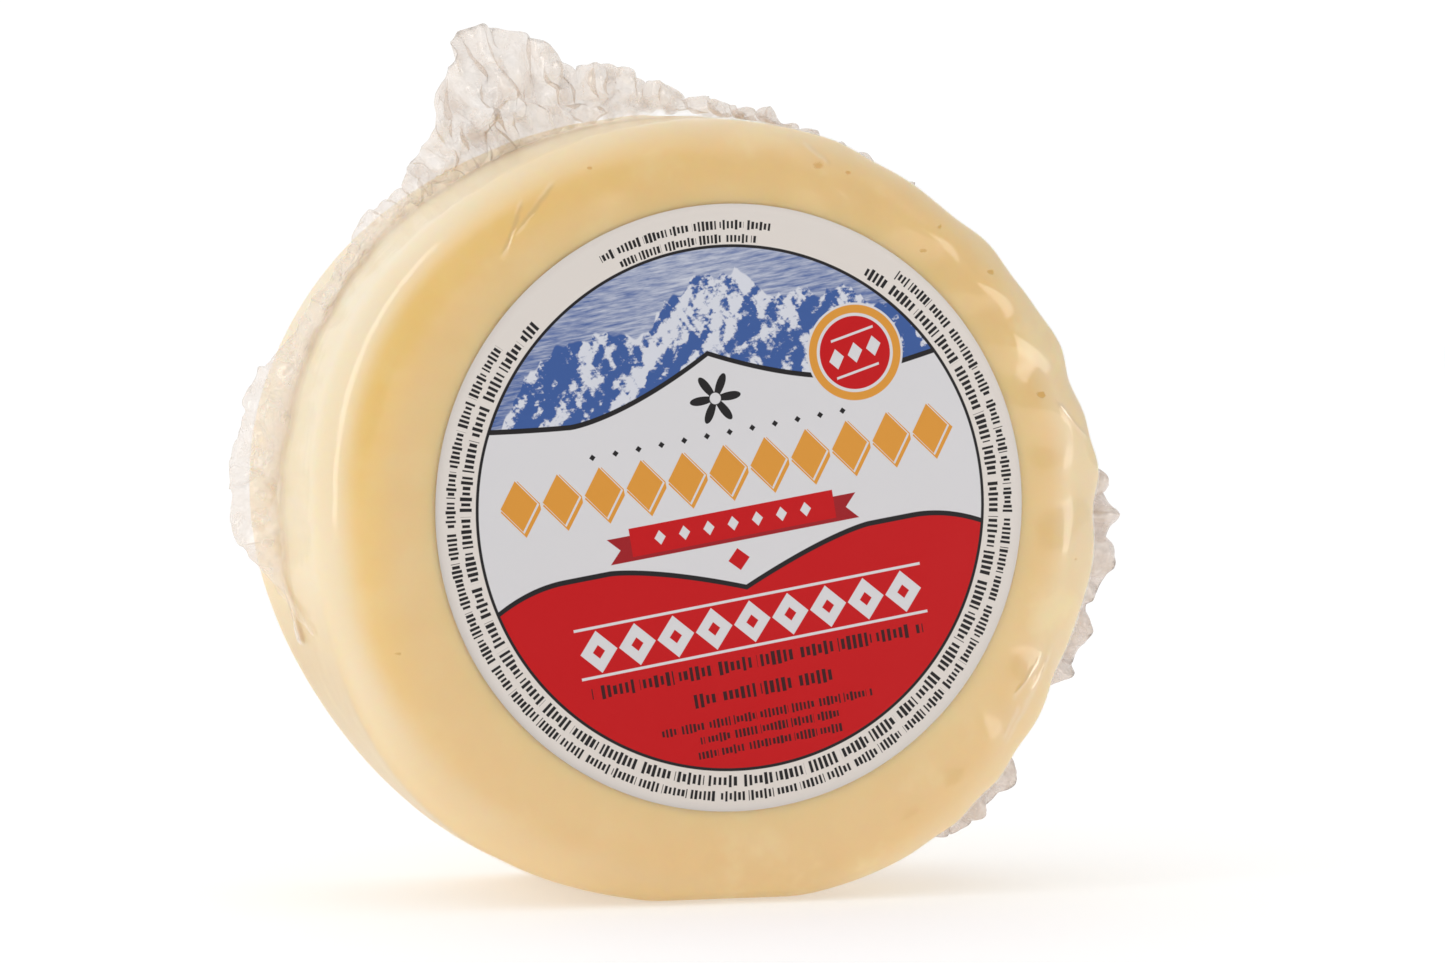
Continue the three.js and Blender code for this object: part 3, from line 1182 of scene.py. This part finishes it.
def make_fold(material):
    along = np.linspace(0, 1, FOLD_STEPS)[:, None]
    marks = np.linspace(0, 1, len(FOLD_ANGLE))
    angle = np.radians(np.interp(along, marks, FOLD_ANGLE))
    depth, width, lift = (np.interp(along, marks, row) for row in (FOLD_DEPTH, FOLD_WIDTH, FOLD_LIFT))
    across = np.linspace(-1, 1, FOLD_SIDE_STEPS)
    crest = np.cos(across * math.pi / 2) ** 0.8  # the fold's section: 1 at its top and 0 at its sides
    side = across * width / 2 + FOLD_LEAN * lift * crest
    angle = angle + side * FOLD_ROUND / FOLD_RADIUS
    points = wheel_point(angle, depth + side * FOLD_BACK, CLEARANCE + lift * crest)
    shake = np.stack([ripple(points, 2.6 * MM, seed) for seed in (61, 62, 63)], -1)
    points = points + FOLD_SHAKE * shake * crest[..., None]
    piece = make_piece("film_fold", points.reshape(-1, 3), open_grid(points), material)
    set_share(piece, "haze", np.zeros(points.size // 3))
    set_share(piece, "loose", (np.ones(along.shape) * crest).ravel())
    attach(piece, "root")
    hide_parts("sealed_bag")


# The label's paper

LABEL_RINGS, LABEL_STEPS = 36, 240
LABEL_LIFT = 0.2 * MM  # of its printed side over the film
LABEL_PAPER = 0.15 * MM


def label_sheet():
    """Points and faces of the label's paper, which follows the film, round the label's middle."""
    reach = np.linspace(0, 1, LABEL_RINGS + 1)[1:] * LABEL_RADIUS
    angle = np.arange(LABEL_STEPS) * TURN / LABEL_STEPS
    x = (reach[:, None] * np.cos(angle)).ravel()
    z = (reach[:, None] * np.sin(angle)).ravel()
    front = np.concatenate([np.stack([x, 0 * x, z], -1), [[0, 0, 0]]])
    front += (LABEL_MIDDLE.x, FRONT, LABEL_MIDDLE.z)
    front[:, 1] -= relief_at(front) + LABEL_LIFT
    back = front + (0, LABEL_PAPER, 0)
    size = len(front)
    edge = (LABEL_RINGS - 1) * LABEL_STEPS
    fans, sides = [], []
    for i in range(LABEL_STEPS):
        after = (i + 1) % LABEL_STEPS
        fans.append((size - 1, after, i))
        sides.append((edge + i, edge + i + size, edge + after + size, edge + after))
    front_faces = ring_faces(LABEL_RINGS, LABEL_STEPS).tolist() + fans
    back_faces = [tuple(np.array(face[::-1]) + size) for face in front_faces]
    return np.concatenate([front, back]) - LABEL_MIDDLE, front_faces + back_faces + sides


def make_label():
    """The label, turned so that its own X and Z run along its print."""
    points, faces = label_sheet()
    cos, sin = math.cos(PRINT_TILT), math.sin(PRINT_TILT)
    points = points @ np.array([[cos, 0, -sin], [0, 1, 0], [sin, 0, cos]])
    piece = make_piece("round_label", points, faces, label_material())
    piece.location = LABEL_MIDDLE
    piece.rotation_euler.y = -PRINT_TILT
    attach(piece, "root")
    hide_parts("label")


# Camera, light and floor

CAMERA_SIDE = -15.465  # degrees, to the left of straight on
CAMERA_RISE = 3.016  # degrees above level
CAMERA_DISTANCE = 0.900
LENS = 119.4  # mm, on a 36 mm sensor
AIM_RISE = 7.16 * MM  # of the picture's middle over the front face's middle

# Soft boxes of light: place, width and height, and how bright they look beside a white wall in full light
SOFTBOXES = {
    "left_softbox": ((-0.72, -0.22, 0.40), 0.15, 1.0, 2.2),
    "right_softbox": ((0.535, -0.595, 0.10), 0.32, 0.34, 2.3),
}

# How bright the studio is, and how much of that is lost behind the camera, at the right and at the left
STUDIO_GLOW = 1.03
LOST_BEHIND, LOST_RIGHT, LOST_LEFT = 0.73, 0.55, 0.14

FLOOR_REACH = 6.0
FLOOR_GREY = 0.70
FLOOR_GLOW = 0.395


def face_towards(thing, place_at, aim):
    """Puts a camera or a light at a place, turned to aim."""
    thing.location = place_at
    thing.rotation_euler = (aim - thing.location).to_track_quat("-Z", "Y").to_euler()


def make_camera():
    side, rise = math.radians(CAMERA_SIDE), math.radians(CAMERA_RISE)
    back = Vector((math.sin(side) * math.cos(rise), -math.cos(side) * math.cos(rise), math.sin(rise)))
    data = bpy.data.cameras.new("camera")
    data.lens = LENS
    data.sensor_width = 36
    data.clip_start = 0.05
    data.clip_end = 20
    camera = add_object("camera", data)
    aim = Vector(front_hub) + Vector((0, 0, AIM_RISE))
    face_towards(camera, Vector(front_hub) + back * CAMERA_DISTANCE, aim)
    bpy.context.scene.camera = camera


def make_softbox(name, place_at, width, height, glow):
    """A soft box of light that faces the middle of the wheel."""
    data = bpy.data.lights.new(name, "AREA")
    data.shape = "RECTANGLE"
    data.size = width
    data.size_y = height
    data.energy = glow * math.pi * width * height
    face_towards(add_object(name, data), place_at, Vector(hub_at(0.5)))


def make_world():
    """A white studio, with the dark of the room behind the camera and some of it at the sides."""
    world = bpy.data.worlds.new("studio")
    world.use_nodes = True
    x, y, z = split(node_value(world, "TexCoord", "Generated"))
    behind = y.ramp(-0.5, -0.9)
    to_right = x.ramp(0.42, 0.8)
    to_left = x.ramp(-0.45, -0.8)
    glow = STUDIO_GLOW - behind * LOST_BEHIND
    glow = glow * (1 - to_right * LOST_RIGHT) * (1 - to_left * LOST_LEFT)
    background = world.node_tree.nodes["Background"]
    connect((1, 1, 1, 1), background.inputs["Color"])
    connect(glow, background.inputs["Strength"])
    bpy.context.scene.world = world


def make_floor():
    mesh = bpy.data.meshes.new("floor")
    corners = [(x * FLOOR_REACH, y * FLOOR_REACH, 0) for x, y in ((-1, -1), (1, -1), (1, 1), (-1, 1))]
    mesh.from_pydata(corners, [], [(0, 1, 2, 3)])
    material = new_material("floor")
    shader = add_node(
        material,
        "BsdfPrincipled",
        Base_Color=(FLOOR_GREY, FLOOR_GREY, FLOOR_GREY, 1),
        Roughness=0.9,
        Emission_Color=(1, 1, 1, 1),
        Emission_Strength=FLOOR_GLOW,
    )
    mesh.materials.append(finish_material(material, shader))
    floor = add_object("floor", mesh)


def make_studio():
    make_camera()
    make_world()
    make_floor()
    for name, softbox in SOFTBOXES.items():
        make_softbox(name, *softbox)
    scene = bpy.context.scene
    scene.view_settings.view_transform = "Standard"
    scene.cycles.transparent_max_bounces = 32


make_studio()
make_cheese()
make_film()
seam_film = seam_material()
make_seam(seam_film)
make_fold(seam_film)
make_label()
